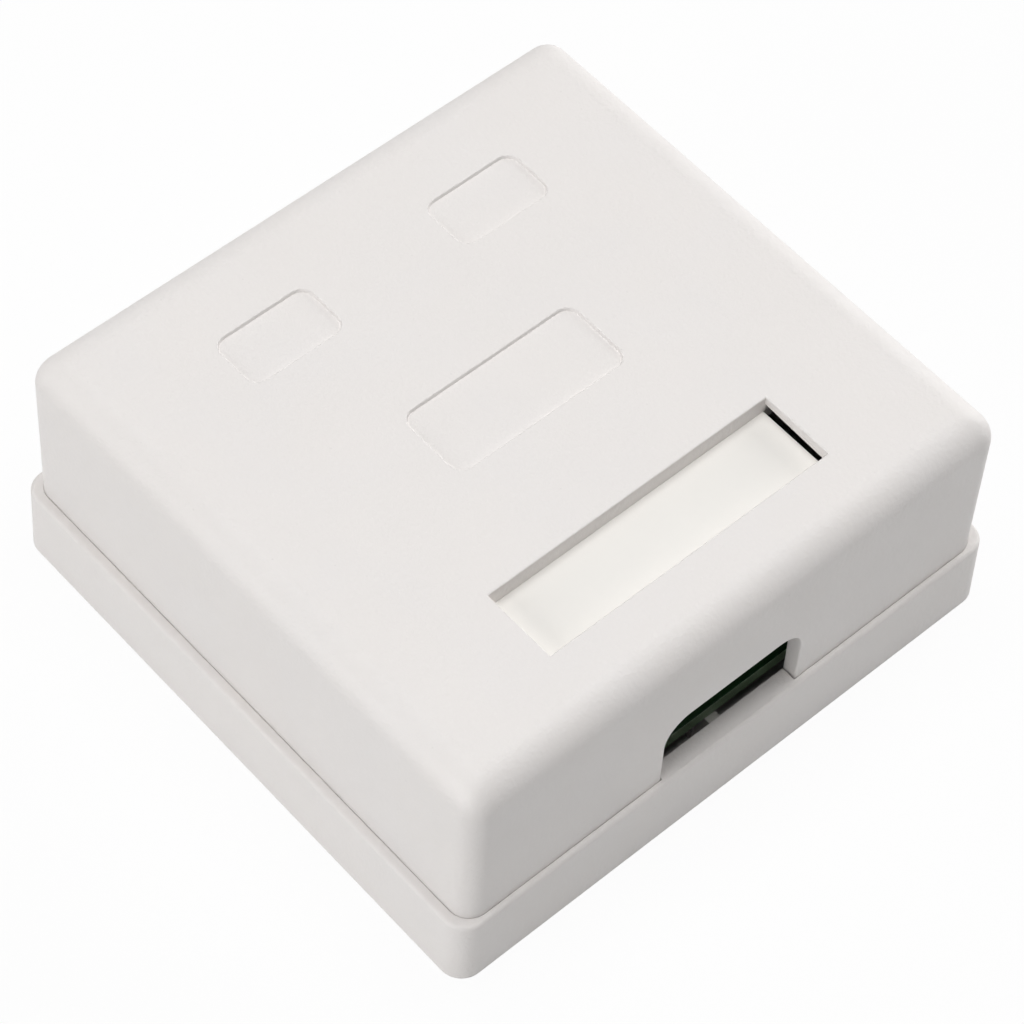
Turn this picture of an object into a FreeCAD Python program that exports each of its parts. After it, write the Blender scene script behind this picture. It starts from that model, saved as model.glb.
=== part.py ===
"""Two-port surface mount jack box: tray, clip-on cover, circuit board, jacks and terminals.

Frame: millimetres, +Z out of the wall, origin in the middle of the back face.
The jack mouths open towards -Y and the cable comes in through the +Y side.
"""
import FreeCAD
import Part
import Sketcher

import math
import os
import re

SIZES = [
    # tray
    ("base_length", 65.0, "tray along X, measured at the back"),
    ("base_width", 62.1, "tray along Y, measured at the back"),
    ("base_corner_radius", 2.3, "upright corners of the tray"),
    ("base_draft", 1.3, "degrees, outer walls of the tray lean inwards"),
    ("rim_height", 8.4, "back face to the top of the rim"),
    ("rim_wall_x", 1.04, "rim at its top, on the two X sides"),
    ("rim_wall_y", 0.65, "rim at its top, on the two Y ends"),
    ("rim_edge_radius", 0.4, "outer edge of the rim's top"),
    ("floor_thickness", 1.8, "tray floor"),
    ("seat_width", 1.8, "step inside the rim that the cover's edge sits on"),
    # cover
    ("box_height", 27.5, "back face to the top of the cover"),
    ("cover_gap_x", 0.12, "seam between rim and cover on the X sides"),
    ("cover_gap_y", 0.05, "seam between rim and cover on the Y ends"),
    ("cover_edge_height", 5.5, "back face to the cover's lower edge"),
    ("cover_draft", 0.47, "degrees, outer walls of the cover lean inwards"),
    ("core_draft", 0.7, "degrees, inner walls of the cover lean inwards"),
    ("cover_wall", 1.6, "side walls of the cover"),
    ("cover_top", 1.4, "top plate of the cover"),
    ("cover_corner_radius", 2.15, "upright corners of the cover"),
    ("cover_top_radius", 3.25, "edge round the top of the cover"),
    # label window in the cover's top
    ("window_length", 32.4, "label window along X"),
    ("window_width", 7.8, "label window along Y"),
    ("window_setback", 11.38, "middle of the window from the cover's +Y side"),
    ("window_depth", 2.2, "label window below the top"),
    ("window_floor", 1.2, "plate under the label"),
    ("window_wall", 1.2, "walls round the label window, inside the cover"),
    ("window_slot_width", 7.3, "slot under the window's -X end wall"),
    ("window_slot_shift", -0.25, "slot from the window's middle line"),
    ("window_slot_reach", 0.03, "slot into the window's floor, which it cuts through"),
    ("card_thickness", 0.25, "label card"),
    ("card_clearance", 0.1, "card to window, each side"),
    # shallow recesses in the cover's top
    ("plate_length", 19.6, "name recess along X"),
    ("plate_width", 7.8, "name recess along Y"),
    ("icon_length", 10.35, "port recess along X"),
    ("icon_width", 5.9, "port recess along Y"),
    ("icon_setback", 12.58, "middle of the port recesses from the cover's -Y side"),
    ("recess_radius", 1.3, "corners of the shallow recesses"),
    ("recess_depth", 0.35, "shallow recesses"),
    # cable notch
    ("notch_width", 16.4, "cable notch in the cover's +Y wall"),
    ("notch_shift", 0.35, "middle of the notch towards +X"),
    ("notch_top", 16.5, "back face to the top of the notch"),
    ("notch_radius", 2.85, "upper corners of the notch"),
    ("notch_clearance", 0.1, "notch to the ledge that closes it, each side"),
    ("ledge_inset", 0.1, "ledge's inner face from the cover's inner face, outwards"),
    # snaps
    ("snap_spread", 17.0, "snaps, from the middle of each X side"),
    ("snap_height", 10.3, "back face to the plane where bead and hook meet"),
    ("snap_width", 7.0, "tray hooks along Y"),
    ("snap_thickness", 1.2, "tray hooks along X"),
    ("snap_play", 0.3, "hook above bead"),
    ("snap_gap", 0.15, "hook's post to the bead"),
    ("snap_bite", 0.3, "how far the hook reaches over the bead"),
    ("bead_reach", 0.6, "bead on the cover's inner wall"),
    ("bead_width", 9.0, "bead along Y"),
    # wall screws
    ("screw_spacing", 52.6, "between the two screw slots, along X"),
    ("screw_slot_length", 6.2, "screw slot, end to end"),
    ("screw_slot_width", 4.2, "screw slot"),
    ("screw_pad_margin", 1.2, "raised pad round each screw slot"),
    ("screw_pad_height", 0.8, "raised pad above the floor"),
    # circuit board
    ("board_length", 44.0, "board along X"),
    ("board_room", 1.38, "board to the cover's inner wall, at each Y end"),
    ("board_thickness", 1.6, "board"),
    ("board_height", 7.8, "back face to the top of the board"),
    ("board_corner_radius", 1.0, "board corners"),
    ("board_gap", 0.05, "clip and stops to the board"),
    ("board_rib_thickness", 1.2, "ribs under the board"),
    ("board_rib_inset", 1.0, "middle of the outer ribs from the board's edge"),
    ("board_stop_length", 4.0, "stops round the board, along its edge"),
    ("board_stop_thickness", 1.1, "stops round the board"),
    ("board_stop_rise", 0.4, "stops above the board's top"),
    ("side_stop_spread", 20.0, "side stops from the middle line"),
    ("rear_stop_spread", 15.0, "rear stops from the middle line"),
    ("front_clip_width", 5.0, "clip at the board's -Y edge"),
    ("front_clip_thickness", 1.1, "clip at the board's -Y edge"),
    ("clip_reach", 0.6, "clip over the board"),
    ("clip_nose", 0.75, "height of the clip's nose"),
    ("rear_rest_width", 1.35, "rest under the board's +Y edge"),
    ("rear_rest_shift", -0.42, "middle of that rest towards +X"),
    # jacks
    ("port_pitch", 24.4, "between the two jacks"),
    ("jack_width", 15.4, "jack housing along X"),
    ("jack_depth", 16.0, "jack housing along Y"),
    ("jack_height", 12.9, "jack housing above the board"),
    ("jack_face_recess", 0.3, "jack face behind the cover's outer face"),
    ("jack_window_clearance", 0.15, "jack to its window in the cover"),
    ("jack_face_radius", 0.5, "upright edges of the jack's face"),
    ("mouth_width", 11.8, "plug opening"),
    ("mouth_height", 6.8, "plug opening without the latch keyway"),
    ("mouth_depth", 12.6, "plug opening"),
    ("mouth_floor", 3.0, "board to the plug opening"),
    ("key_width", 6.3, "latch keyway"),
    ("key_height", 1.4, "latch keyway above the opening"),
    ("key_slot_width", 4.0, "upper step of the keyway"),
    ("key_slot_height", 0.9, "upper step of the keyway"),
    ("key_wall", 1.6, "front wall that the latch catches behind"),
    ("key_room_depth", 8.0, "latch room behind the front wall"),
    ("bay_width", 10.6, "bay under the opening that takes the insert"),
    ("comb_depth", 1.4, "slots in the back wall for the contacts' ends"),
    ("comb_height", 5.4, "slots in the back wall"),
    ("jack_leg_width", 1.8, "legs that lock the jack into the board, along X"),
    ("jack_leg_depth", 2.4, "legs that lock the jack into the board, along Y"),
    ("jack_leg_length", 2.3, "legs below the board's top"),
    ("jack_leg_spread", 6.5, "legs from the jack's middle"),
    ("jack_leg_setback", 8.6, "legs behind the jack's face"),
    ("leg_clearance", 0.1, "legs in their holes, each side"),
    # jack inserts and their spring contacts
    ("insert_front", 3.1, "insert behind the jack's face"),
    ("insert_back", 14.7, "insert's back face behind the jack's face"),
    ("insert_clearance", 0.1, "insert in its bay, each side"),
    ("spring_count", 8, "contacts in each jack"),
    ("spring_pitch", 1.02, "between contacts"),
    ("spring_size", 0.4, "square wire of the contacts"),
    ("spring_groove_width", 0.56, "grooves in the insert"),
    ("spring_groove_depth", 0.9, "grooves in the insert"),
    ("spring_bend_radius", 0.7, "bend at the contact's front"),
    ("spring_bend_steps", 4, "straight steps that the bend is made of"),
    ("spring_front", 1.95, "foremost point of the wire's middle line"),
    ("spring_slope", 17.0, "degrees, free arm of the contact"),
    ("spring_arm_length", 11.0, "free arm of the contact"),
    ("pin_row_gap", 2.5, "between the two rows of pins"),
    ("tail_length", 1.1, "pins below the board"),
    # punch-down terminals
    ("terminal_rear_row", 14.5, "terminals behind, towards +Y"),
    ("terminal_front_row", 1.0, "terminals in front, towards +Y"),
    ("terminal_count", 4, "wire slots in each terminal block"),
    ("terminal_pitch", 3.6, "between wire slots"),
    ("terminal_end_wall", 2.4, "outer pillars of a terminal block"),
    ("terminal_width", 6.0, "terminal block along Y"),
    ("terminal_height", 11.2, "terminal block above the board"),
    ("wire_slot_width", 1.1, "slot for one wire"),
    ("wire_slot_floor", 3.4, "bottom of the wire slots above the board"),
    ("pillar_point_height", 1.3, "height of the pillars' pointed tops"),
    ("pillar_tip", 0.5, "flat on a pillar's point"),
    ("blade_width", 2.6, "forked contact along X"),
    ("blade_thickness", 0.4, "forked contact"),
    ("blade_height", 8.4, "forked contact above the board"),
    ("blade_slit", 0.3, "slit between the two tines"),
    ("blade_slit_floor", 3.6, "bottom of the slit above the board"),
    ("blade_mouth", 1.2, "flare at the top of the slit"),
    ("blade_tail_width", 0.6, "solder tail"),
    ("blade_clearance", 0.05, "contact in its pocket, each side"),
    # ribs that hold the jacks down
    ("hold_rib_thickness", 1.0, "ribs under the cover's top, over each jack"),
    ("hold_rib_length", 11.0, "ribs along Y"),
    ("hold_rib_spread", 5.0, "ribs from the jack's middle"),
    ("hold_rib_setback", 10.0, "middle of the ribs behind the jack's face"),
    ("hold_rib_gap", 0.15, "ribs above the jack"),
]

# lengths that follow from the sizes above
WORKED_OUT = {
    "rim_half_x": "base_length / 2 - rim_height * tan(base_draft * 1 deg)",
    "rim_half_y": "base_width / 2 - rim_height * tan(base_draft * 1 deg)",
    "well_half_x": "rim_half_x - rim_wall_x",
    "well_half_y": "rim_half_y - rim_wall_y",
    "floor_half_x": "well_half_x - seat_width",
    "floor_half_y": "well_half_y - seat_width",
    "cover_skirt": "(rim_height - cover_edge_height) * tan(cover_draft * 1 deg)",
    "cover_half_x": "well_half_x - cover_gap_x + cover_skirt",
    "cover_half_y": "well_half_y - cover_gap_y + cover_skirt",
    "inner_half_x": "cover_half_x - cover_wall",
    "inner_half_y": "cover_half_y - cover_wall",
    "inner_corner_radius": "cover_corner_radius - cover_wall",
    "ceiling_height": "box_height - cover_top",
    "window_offset": "cover_half_y - window_setback",
    "icon_offset": "cover_half_y - icon_setback",
    "label_height": "box_height - window_depth",
    "wall_at_snap": "inner_half_x - (snap_height - cover_edge_height) * tan(core_draft * 1 deg)",
    "bead_face": "wall_at_snap - bead_reach",
    "hook_face": "bead_face - snap_gap",
    "board_width": "2 * (inner_half_y - board_room)",
    "board_underside": "board_height - board_thickness",
    "jack_face": "cover_half_y - cover_skirt - jack_face_recess",
    "insert_rest": "mouth_floor - spring_groove_depth + spring_size / 2",
    "rear_pin_row": "insert_back + spring_size / 2 + insert_clearance",
    "front_pin_row": "rear_pin_row - pin_row_gap",
    "tail_depth": "board_thickness + tail_length",
}

ALIASES = {name for name, _, _ in SIZES}
# each side's name with the sign of its X
SIDES = (("left", "-"), ("right", ""))

document = FreeCAD.newDocument("surface_mount_jack_box")
sheet = document.addObject("Spreadsheet::Sheet", "Sizes")
for row, (name, value, meaning) in enumerate(SIZES, 1):
    sheet.set(f"A{row}", name)
    sheet.set(f"B{row}", str(value))
    sheet.set(f"C{row}", meaning)
    sheet.setAlias(f"B{row}", name)
document.recompute()


def formula(text):
    """Expression in which each size points at its cell and each worked-out length is spelt out."""
    def spell_out(match):
        word = match.group(0)
        if word in WORKED_OUT:
            return f"({formula(WORKED_OUT[word])})"
        return f"Sizes.{word}" if word in ALIASES else word
    return re.sub(r"[a-z][a-z_]*", spell_out, text)


def number(text):
    """Value that an expression has now."""
    result = sheet.evalExpression(formula(text))
    return float(getattr(result, "Value", result))


def bind(target, path, text):
    target.setExpression(path, formula(text))


# ---------------------------------------------------------------- sketches

def plane_of(body, role):
    return next(item for item in body.Origin.OriginFeatures if item.Role == role)


def sketch_on(body, name, role, offset="0"):
    """Sketch on one of the body's own origin planes, moved along the plane's normal."""
    sketch = body.newObject("Sketcher::SketchObject", name)
    sketch.AttachmentSupport = (plane_of(body, role), [""])
    sketch.MapMode = "FlatFace"
    bind(sketch, "AttachmentOffset.Base.z", offset)
    return sketch


def hold(sketch, places):
    """Distances along the sketch's axes, from its origin to points of its geometry.

    Each place is the geometry's index, its point, the axis letter and an expression.
    """
    first = sketch.ConstraintCount
    sketch.addConstraint([
        Sketcher.Constraint(f"Distance{axis}", -1, 1, geometry, point, number(text))
        for geometry, point, axis, text in places
    ])
    for index, (_, _, _, text) in enumerate(places, first):
        bind(sketch, f"Constraints[{index}]", text)


def add_outline(sketch, points):
    """Closed outline of straight lines through points given as pairs of expressions."""
    corners = [FreeCAD.Vector(number(x), number(y), 0) for x, y in points]
    first = sketch.GeometryCount
    count = len(corners)
    sketch.addGeometry([Part.LineSegment(corners[i], corners[(i + 1) % count]) for i in range(count)])
    sketch.addConstraint([
        Sketcher.Constraint("Coincident", first + i, 2, first + (i + 1) % count, 1)
        for i in range(count)
    ])
    hold(sketch, [(first + i, 1, "X", x) for i, (x, _) in enumerate(points)]
         + [(first + i, 1, "Y", y) for i, (_, y) in enumerate(points)])


def add_rectangle(sketch, x_middle, y_low, x_size, y_high):
    """Rectangle about a middle line, between two heights."""
    left = f"({x_middle}) - ({x_size}) / 2"
    right = f"({x_middle}) + ({x_size}) / 2"
    add_outline(sketch, [(left, y_low), (right, y_low), (right, y_high), (left, y_high)])


def add_plate(sketch, x_middle, y_middle, x_size, y_size):
    """Rectangle about its own middle."""
    add_rectangle(sketch, x_middle, f"({y_middle}) - ({y_size}) / 2", x_size,
                  f"({y_middle}) + ({y_size}) / 2")


def add_round_plate(sketch, x_middle, y_middle, x_size, y_size, radius):
    """Rectangle about its own middle with rounded corners."""
    middle = FreeCAD.Vector(number(x_middle), number(y_middle), 0)
    reach = FreeCAD.Vector(number(x_size) / 2, number(y_size) / 2, 0)
    bend = number(radius)
    first = sketch.GeometryCount
    geometry = []
    for quarter, (sign_x, sign_y) in enumerate([(1, -1), (1, 1), (-1, 1), (-1, -1)]):
        corner = middle + FreeCAD.Vector(sign_x * (reach.x - bend), sign_y * (reach.y - bend), 0)
        start = (quarter - 1) * math.pi / 2
        circle = Part.Circle(corner, FreeCAD.Vector(0, 0, 1), bend)
        geometry.append(Part.ArcOfCircle(circle, start, start + math.pi / 2))
    for quarter in range(4):
        leave = geometry[quarter].EndPoint
        arrive = geometry[(quarter + 1) % 4].StartPoint
        geometry.append(Part.LineSegment(leave, arrive))
    sketch.addGeometry(geometry)
    arcs = range(first, first + 4)
    lines = range(first + 4, first + 8)
    rules = [Sketcher.Constraint("Tangent", arc, 2, line, 1) for arc, line in zip(arcs, lines)]
    rules += [Sketcher.Constraint("Tangent", lines[i], 2, arcs[(i + 1) % 4], 1) for i in range(4)]
    rules += [Sketcher.Constraint("Vertical" if i % 2 == 0 else "Horizontal", lines[i]) for i in range(4)]
    rules += [Sketcher.Constraint("Equal", arcs[0], arcs[i]) for i in range(1, 4)]
    sketch.addConstraint(rules)
    index = sketch.addConstraint(Sketcher.Constraint("Radius", first, bend))
    bind(sketch, f"Constraints[{index}]", radius)
    hold(sketch, [
        (lines[0], 1, "X", f"({x_middle}) + ({x_size}) / 2"),
        (lines[1], 1, "Y", f"({y_middle}) + ({y_size}) / 2"),
        (lines[2], 1, "X", f"({x_middle}) - ({x_size}) / 2"),
        (lines[3], 1, "Y", f"({y_middle}) - ({y_size}) / 2"),
    ])


def add_slot(sketch, x, y, length, width):
    """Slot along the sketch's first axis with round ends."""
    middle = FreeCAD.Vector(number(x), number(y), 0)
    radius = number(width) / 2
    reach = FreeCAD.Vector(number(length) / 2 - radius, 0, 0)
    up = FreeCAD.Vector(0, radius, 0)
    axis = FreeCAD.Vector(0, 0, 1)
    first = sketch.GeometryCount
    sketch.addGeometry([
        Part.ArcOfCircle(Part.Circle(middle + reach, axis, radius), -math.pi / 2, math.pi / 2),
        Part.LineSegment(middle + reach + up, middle - reach + up),
        Part.ArcOfCircle(Part.Circle(middle - reach, axis, radius), math.pi / 2, 3 * math.pi / 2),
        Part.LineSegment(middle - reach - up, middle + reach - up),
    ])
    rules = [Sketcher.Constraint("Tangent", first + i, 2, first + (i + 1) % 4, 1) for i in range(4)]
    rules += [Sketcher.Constraint("Horizontal", first + 1), Sketcher.Constraint("Equal", first, first + 2)]
    sketch.addConstraint(rules)
    index = sketch.addConstraint(Sketcher.Constraint("Radius", first, radius))
    bind(sketch, f"Constraints[{index}]", f"({width}) / 2")
    hold(sketch, [
        (first, 3, "Y", y),
        (first, 3, "X", f"({x}) + ({length}) / 2 - ({width}) / 2"),
        (first + 2, 3, "X", f"({x}) - ({length}) / 2 + ({width}) / 2"),
    ])


# ---------------------------------------------------------------- picking faces and edges

def names_of(items, kind, test):
    """Names, such as Face3, of the faces or edges that pass a test."""
    return [f"{kind}{index}" for index, item in enumerate(items, 1) if test(item)]


def at_height(height):
    """Test for what lies in one level plane."""
    return lambda item: abs(item.BoundBox.ZMin - height) < 1e-4 and item.BoundBox.ZLength < 1e-4


def upright(item):
    """Edges that climb the walls, leaning or not."""
    ends = item.BoundBox
    return ends.ZLength > 2 * max(ends.XLength, ends.YLength)


def side_wall(half_x, half_y):
    """Test for the flat wall faces whose middle is about this far out."""
    near = 0.3

    def test(face):
        if not isinstance(face.Surface, Part.Plane) or face.BoundBox.ZLength < near:
            return False
        middle = face.CenterOfMass
        return abs(abs(middle.x) - half_x) < near or abs(abs(middle.y) - half_y) < near
    return test


# ---------------------------------------------------------------- features

def new_body(name, x="0", y="0", z="0"):
    """Body whose own origin stands at the given place."""
    body = document.addObject("PartDesign::Body", name)
    body.Label = name
    bind(body, "Placement.Base.x", x)
    bind(body, "Placement.Base.y", y)
    bind(body, "Placement.Base.z", z)
    return body


def pad(body, sketch, length, reverse=False, midplane=False):
    feature = body.newObject("PartDesign::Pad", f"{sketch.Name}_pad")
    feature.Profile = sketch
    bind(feature, "Length", length)
    feature.Reversed = reverse
    feature.Midplane = midplane
    document.recompute()
    return feature


def pocket(body, sketch, length=None, reverse=False, midplane=False):
    """Cut to a length, or through everything, which has to take material away."""
    before = body.Shape.Volume
    feature = body.newObject("PartDesign::Pocket", f"{sketch.Name}_pocket")
    feature.Profile = sketch
    if length is None:
        feature.Type = "ThroughAll"
    else:
        bind(feature, "Length", length)
    feature.Reversed = reverse
    feature.Midplane = midplane
    document.recompute()
    if not body.Shape.Volume < before:
        raise ValueError(f"{feature.Name} cuts nothing")
    return feature


def draft(body, angle, level, test, reverse=False):
    """Lean the walls that pass a test about the level plane at one height."""
    base = body.Tip
    faces = base.Shape.Faces
    feature = body.newObject("PartDesign::Draft", f"{base.Name}_draft")
    feature.Base = (base, names_of(faces, "Face", test))
    feature.NeutralPlane = (base, names_of(faces, "Face", at_height(level))[:1])
    bind(feature, "Angle", angle)
    feature.Reversed = reverse
    document.recompute()
    return feature


def fillet(body, radius, test):
    """Round the edges that pass a test."""
    base = body.Tip
    feature = body.newObject("PartDesign::Fillet", f"{base.Name}_fillet")
    feature.Base = (base, names_of(base.Shape.Edges, "Edge", test))
    bind(feature, "Radius", radius)
    document.recompute()
    return feature


def repeat(body, feature, axis, length, count):
    """Row of equal features over a whole length."""
    pattern = body.newObject("PartDesign::LinearPattern", f"{feature.Name}_row")
    pattern.Originals = [feature]
    pattern.Direction = (plane_of(body, axis), [""])
    bind(pattern, "Length", length)
    bind(pattern, "Occurrences", count)
    body.Tip = pattern
    document.recompute()
    return pattern


def mirror(body, features, role):
    pattern = body.newObject("PartDesign::Mirrored", f"{features[-1].Name}_mirror")
    pattern.Originals = features
    pattern.MirrorPlane = (plane_of(body, role), [""])
    body.Tip = pattern
    document.recompute()
    return pattern


# ---------------------------------------------------------------- tray

def build_base_tray():
    """Drafted tray with rim and seat, board ribs, rest and stops, clip, snap hooks and screw slots."""
    body = new_body("base_tray")
    outline = sketch_on(body, "tray_outline", "XY_Plane")
    add_plate(outline, "0", "0", "base_length", "base_width")
    pad(body, outline, "rim_height")
    draft(body, "base_draft", 0, side_wall(number("base_length / 2"), number("base_width / 2")))
    fillet(body, "base_corner_radius", upright)
    fillet(body, "rim_edge_radius", at_height(number("rim_height")))

    # the well steps inwards below the cover's edge, which sits on the step
    well = sketch_on(body, "tray_well", "XY_Plane", "cover_edge_height")
    add_round_plate(well, "0", "0", "2 * well_half_x", "2 * well_half_y",
                    "cover_corner_radius + cover_gap_y")
    pocket(body, well, "rim_height", reverse=True)
    hollow = sketch_on(body, "tray_hollow", "XY_Plane", "floor_thickness")
    add_plate(hollow, "0", "0", "2 * floor_half_x", "2 * floor_half_y")
    pocket(body, hollow, "rim_height", reverse=True)

    # ledge that closes the cable notch
    ledge = sketch_on(body, "cable_ledge", "XY_Plane")
    add_rectangle(ledge, "notch_shift", "inner_half_y + ledge_inset",
                  "notch_width - 2 * notch_clearance",
                  "well_half_y + rim_wall_y / 2")
    pad(body, ledge, "rim_height")
    rest = sketch_on(body, "rear_rest", "XY_Plane")
    add_rectangle(rest, "rear_rest_shift", "board_width / 2 - board_rib_inset", "rear_rest_width",
                  "well_half_y")
    pad(body, rest, "board_underside")

    ribs = sketch_on(body, "board_ribs", "XY_Plane")
    for middle in ("-(board_length / 2 - board_rib_inset)", "0", "board_length / 2 - board_rib_inset"):
        add_plate(ribs, middle, "0", "board_rib_thickness", "board_width - 2 * board_rib_inset")
    pad(body, ribs, "board_underside")
    stops = sketch_on(body, "board_stops", "XY_Plane")
    beside = "board_gap + board_stop_thickness / 2"
    for sign in ("-", ""):
        for end in ("-", ""):
            add_plate(stops, f"{sign}(board_length / 2 + {beside})", f"{end}side_stop_spread",
                      "board_stop_thickness", "board_stop_length")
        add_plate(stops, f"{sign}rear_stop_spread", f"board_width / 2 + {beside}",
                  "board_stop_length", "board_stop_thickness")
    pad(body, stops, "board_height + board_stop_rise")

    # clip whose nose hooks over the board's front edge
    clip = sketch_on(body, "front_clip", "YZ_Plane")
    edge = "-(board_width / 2)"
    post = f"{edge} - board_gap"
    nose_foot = "board_height + board_gap"
    add_outline(clip, [
        (f"{post} - front_clip_thickness", "0"),
        (post, "0"),
        (post, nose_foot),
        (f"{edge} + clip_reach", nose_foot),
        (f"{edge} + clip_reach", f"{nose_foot} + clip_nose / 3"),
        (f"{post} - front_clip_thickness / 2", f"{nose_foot} + 2 * clip_nose"),
        (f"{post} - front_clip_thickness", f"{nose_foot} + 2 * clip_nose"),
    ])
    pad(body, clip, "front_clip_width", midplane=True)

    # slots for the wall screws, each in a raised pad
    pads = sketch_on(body, "screw_pads", "XY_Plane")
    slots = sketch_on(body, "screw_slots", "XY_Plane")
    for sign in ("-", ""):
        middle = f"{sign}screw_spacing / 2"
        add_plate(pads, middle, "0", "screw_slot_length + 2 * screw_pad_margin",
                  "screw_slot_width + 2 * screw_pad_margin")
        add_slot(slots, middle, "0", "screw_slot_length", "screw_slot_width")
    pad(body, pads, "floor_thickness + screw_pad_height")
    pocket(body, slots, "rim_height", reverse=True)

    # hooks that the cover's beads snap under, two on each X side
    hook_parts = []
    foot = "snap_height + snap_play / 2"
    for number_of_hook, side in enumerate(("-", "")):
        hook = sketch_on(body, f"snap_hook_{number_of_hook}", "XZ_Plane", f"{side}snap_spread")
        add_outline(hook, [
            ("hook_face - snap_thickness", "0"),
            ("hook_face", "0"),
            ("hook_face", foot),
            ("hook_face + snap_gap + snap_bite", foot),
            ("hook_face + snap_gap + snap_bite", f"{foot} + snap_bite"),
            ("hook_face - snap_thickness / 3", f"{foot} + 6 * snap_bite"),
            ("hook_face - snap_thickness", f"{foot} + 6 * snap_bite"),
        ])
        hook_parts.append(pad(body, hook, "snap_width", midplane=True))
    mirror(body, hook_parts, "YZ_Plane")
    return body


# ---------------------------------------------------------------- cover

def shell_of_cover(body):
    """Outer block with leaning walls and rounded edges, hollowed from below."""
    edge = number("cover_edge_height")
    outer_x = number("cover_half_x")
    outer_y = number("cover_half_y")
    inner_x = number("inner_half_x")
    inner_y = number("inner_half_y")
    outline = sketch_on(body, "cover_outline", "XY_Plane", "cover_edge_height")
    add_plate(outline, "0", "0", "2 * cover_half_x", "2 * cover_half_y")
    pad(body, outline, "box_height - cover_edge_height")
    draft(body, "cover_draft", edge, side_wall(outer_x, outer_y))
    cavity = sketch_on(body, "cover_cavity", "XY_Plane", "cover_edge_height")
    add_plate(cavity, "0", "0", "2 * inner_half_x", "2 * inner_half_y")
    pocket(body, cavity, "ceiling_height - cover_edge_height", reverse=True)
    draft(body, "core_draft", edge, side_wall(inner_x, inner_y), reverse=True)
    near = number("cover_wall") / 2

    def at_corner(half_x, half_y):
        def test(item):
            middle = item.BoundBox.Center
            return abs(abs(middle.x) - half_x) < near and abs(abs(middle.y) - half_y) < near
        return test
    fillet(body, "inner_corner_radius", at_corner(inner_x, inner_y))
    fillet(body, "cover_corner_radius", at_corner(outer_x, outer_y))
    fillet(body, "cover_top_radius", at_height(number("box_height")))


def ribs_of_cover(body):
    """Walls of the label window, ribs over the jacks and beads for the snap hooks."""
    walls = sketch_on(body, "window_walls", "XY_Plane", "label_height - window_floor")
    add_plate(walls, "0", "window_offset", "window_length + 2 * window_wall",
              "window_width + 2 * window_wall")
    pad(body, walls, "ceiling_height + cover_top / 2 - label_height + window_floor")

    over_jack = "board_height + jack_height + hold_rib_gap"
    ribs = sketch_on(body, "hold_ribs", "XY_Plane", over_jack)
    for side in ("-", ""):
        for rib in ("-", "+"):
            add_plate(ribs, f"{side}port_pitch / 2 {rib} hold_rib_spread", "hold_rib_setback - jack_face",
                      "hold_rib_thickness", "hold_rib_length")
    pad(body, ribs, f"ceiling_height + cover_top / 2 - ({over_jack})")

    beads = []
    top = "snap_height - snap_play / 2"
    for index, side in enumerate(("-", "")):
        bead = sketch_on(body, f"snap_bead_{index}", "XZ_Plane", f"{side}snap_spread")
        add_outline(bead, [
            ("wall_at_snap + cover_wall / 2", top),
            ("bead_face", top),
            ("bead_face", f"{top} - bead_reach / 2"),
            ("wall_at_snap", f"{top} - 3 * bead_reach / 2"),
            ("wall_at_snap + cover_wall / 2", f"{top} - 3 * bead_reach / 2"),
        ])
        beads.append(pad(body, bead, "bead_width", midplane=True))
    mirror(body, beads, "YZ_Plane")


def recesses_of_cover(body):
    """Label window with its end slot, and the shallow recesses in the top."""
    window = sketch_on(body, "label_window", "XY_Plane", "box_height")
    add_plate(window, "0", "window_offset", "window_length", "window_width")
    pocket(body, window, "window_depth")
    slot = sketch_on(body, "window_slot", "YZ_Plane", "window_slot_reach - window_length / 2")
    add_rectangle(slot, "window_offset + window_slot_shift", "label_height - window_floor",
                  "window_slot_width", "ceiling_height")
    pocket(body, slot, "window_slot_reach + 2 * window_wall")

    recesses = sketch_on(body, "top_recesses", "XY_Plane", "box_height")
    add_round_plate(recesses, "0", "0", "plate_length", "plate_width", "recess_radius")
    for side in ("-", ""):
        add_round_plate(recesses, f"{side}port_pitch / 2", "-icon_offset", "icon_length", "icon_width",
                        "recess_radius")
    pocket(body, recesses, "recess_depth")


def openings_of_cover(body):
    """Windows round the jacks and the cable notch, all open at the cover's lower edge."""
    jacks = sketch_on(body, "jack_windows", "XZ_Plane", "cover_half_y + cover_wall")
    for side in ("-", ""):
        add_rectangle(jacks, f"{side}port_pitch / 2", "cover_edge_height - cover_wall",
                      "jack_width + 2 * jack_window_clearance",
                      "board_height + jack_height + jack_window_clearance")
    pocket(body, jacks, "3 * cover_wall")
    notch = sketch_on(body, "cable_notch", "XZ_Plane", "-(cover_half_y + cover_wall)")
    low = "cover_edge_height - 2 * notch_radius"
    add_round_plate(notch, "notch_shift", f"(notch_top + {low}) / 2", "notch_width",
                    f"notch_top - ({low})", "notch_radius")
    pocket(body, notch, "3 * cover_wall", reverse=True)


def build_cover():
    """Clip-on cover."""
    body = new_body("cover")
    shell_of_cover(body)
    ribs_of_cover(body)
    recesses_of_cover(body)
    openings_of_cover(body)
    return body


def build_label_card():
    """Card that lies in the label window, clear of its end slot."""
    body = new_body("label_card", y="window_offset", z="label_height")
    card = sketch_on(body, "card_outline", "XY_Plane")
    add_plate(card, "window_slot_reach / 2", "0",
              "window_length - window_slot_reach - 2 * card_clearance",
              "window_width - 2 * card_clearance")
    pad(body, card, "card_thickness")
    return body


# ---------------------------------------------------------------- circuit board

def spring_places():
    """Across-jack place and pin row of each contact, alternating between the two rows."""
    rows = ("rear_pin_row", "front_pin_row")
    for index in range(round(number("spring_count"))):
        yield f"({index} - (spring_count - 1) / 2) * spring_pitch", rows[index % 2]


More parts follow.
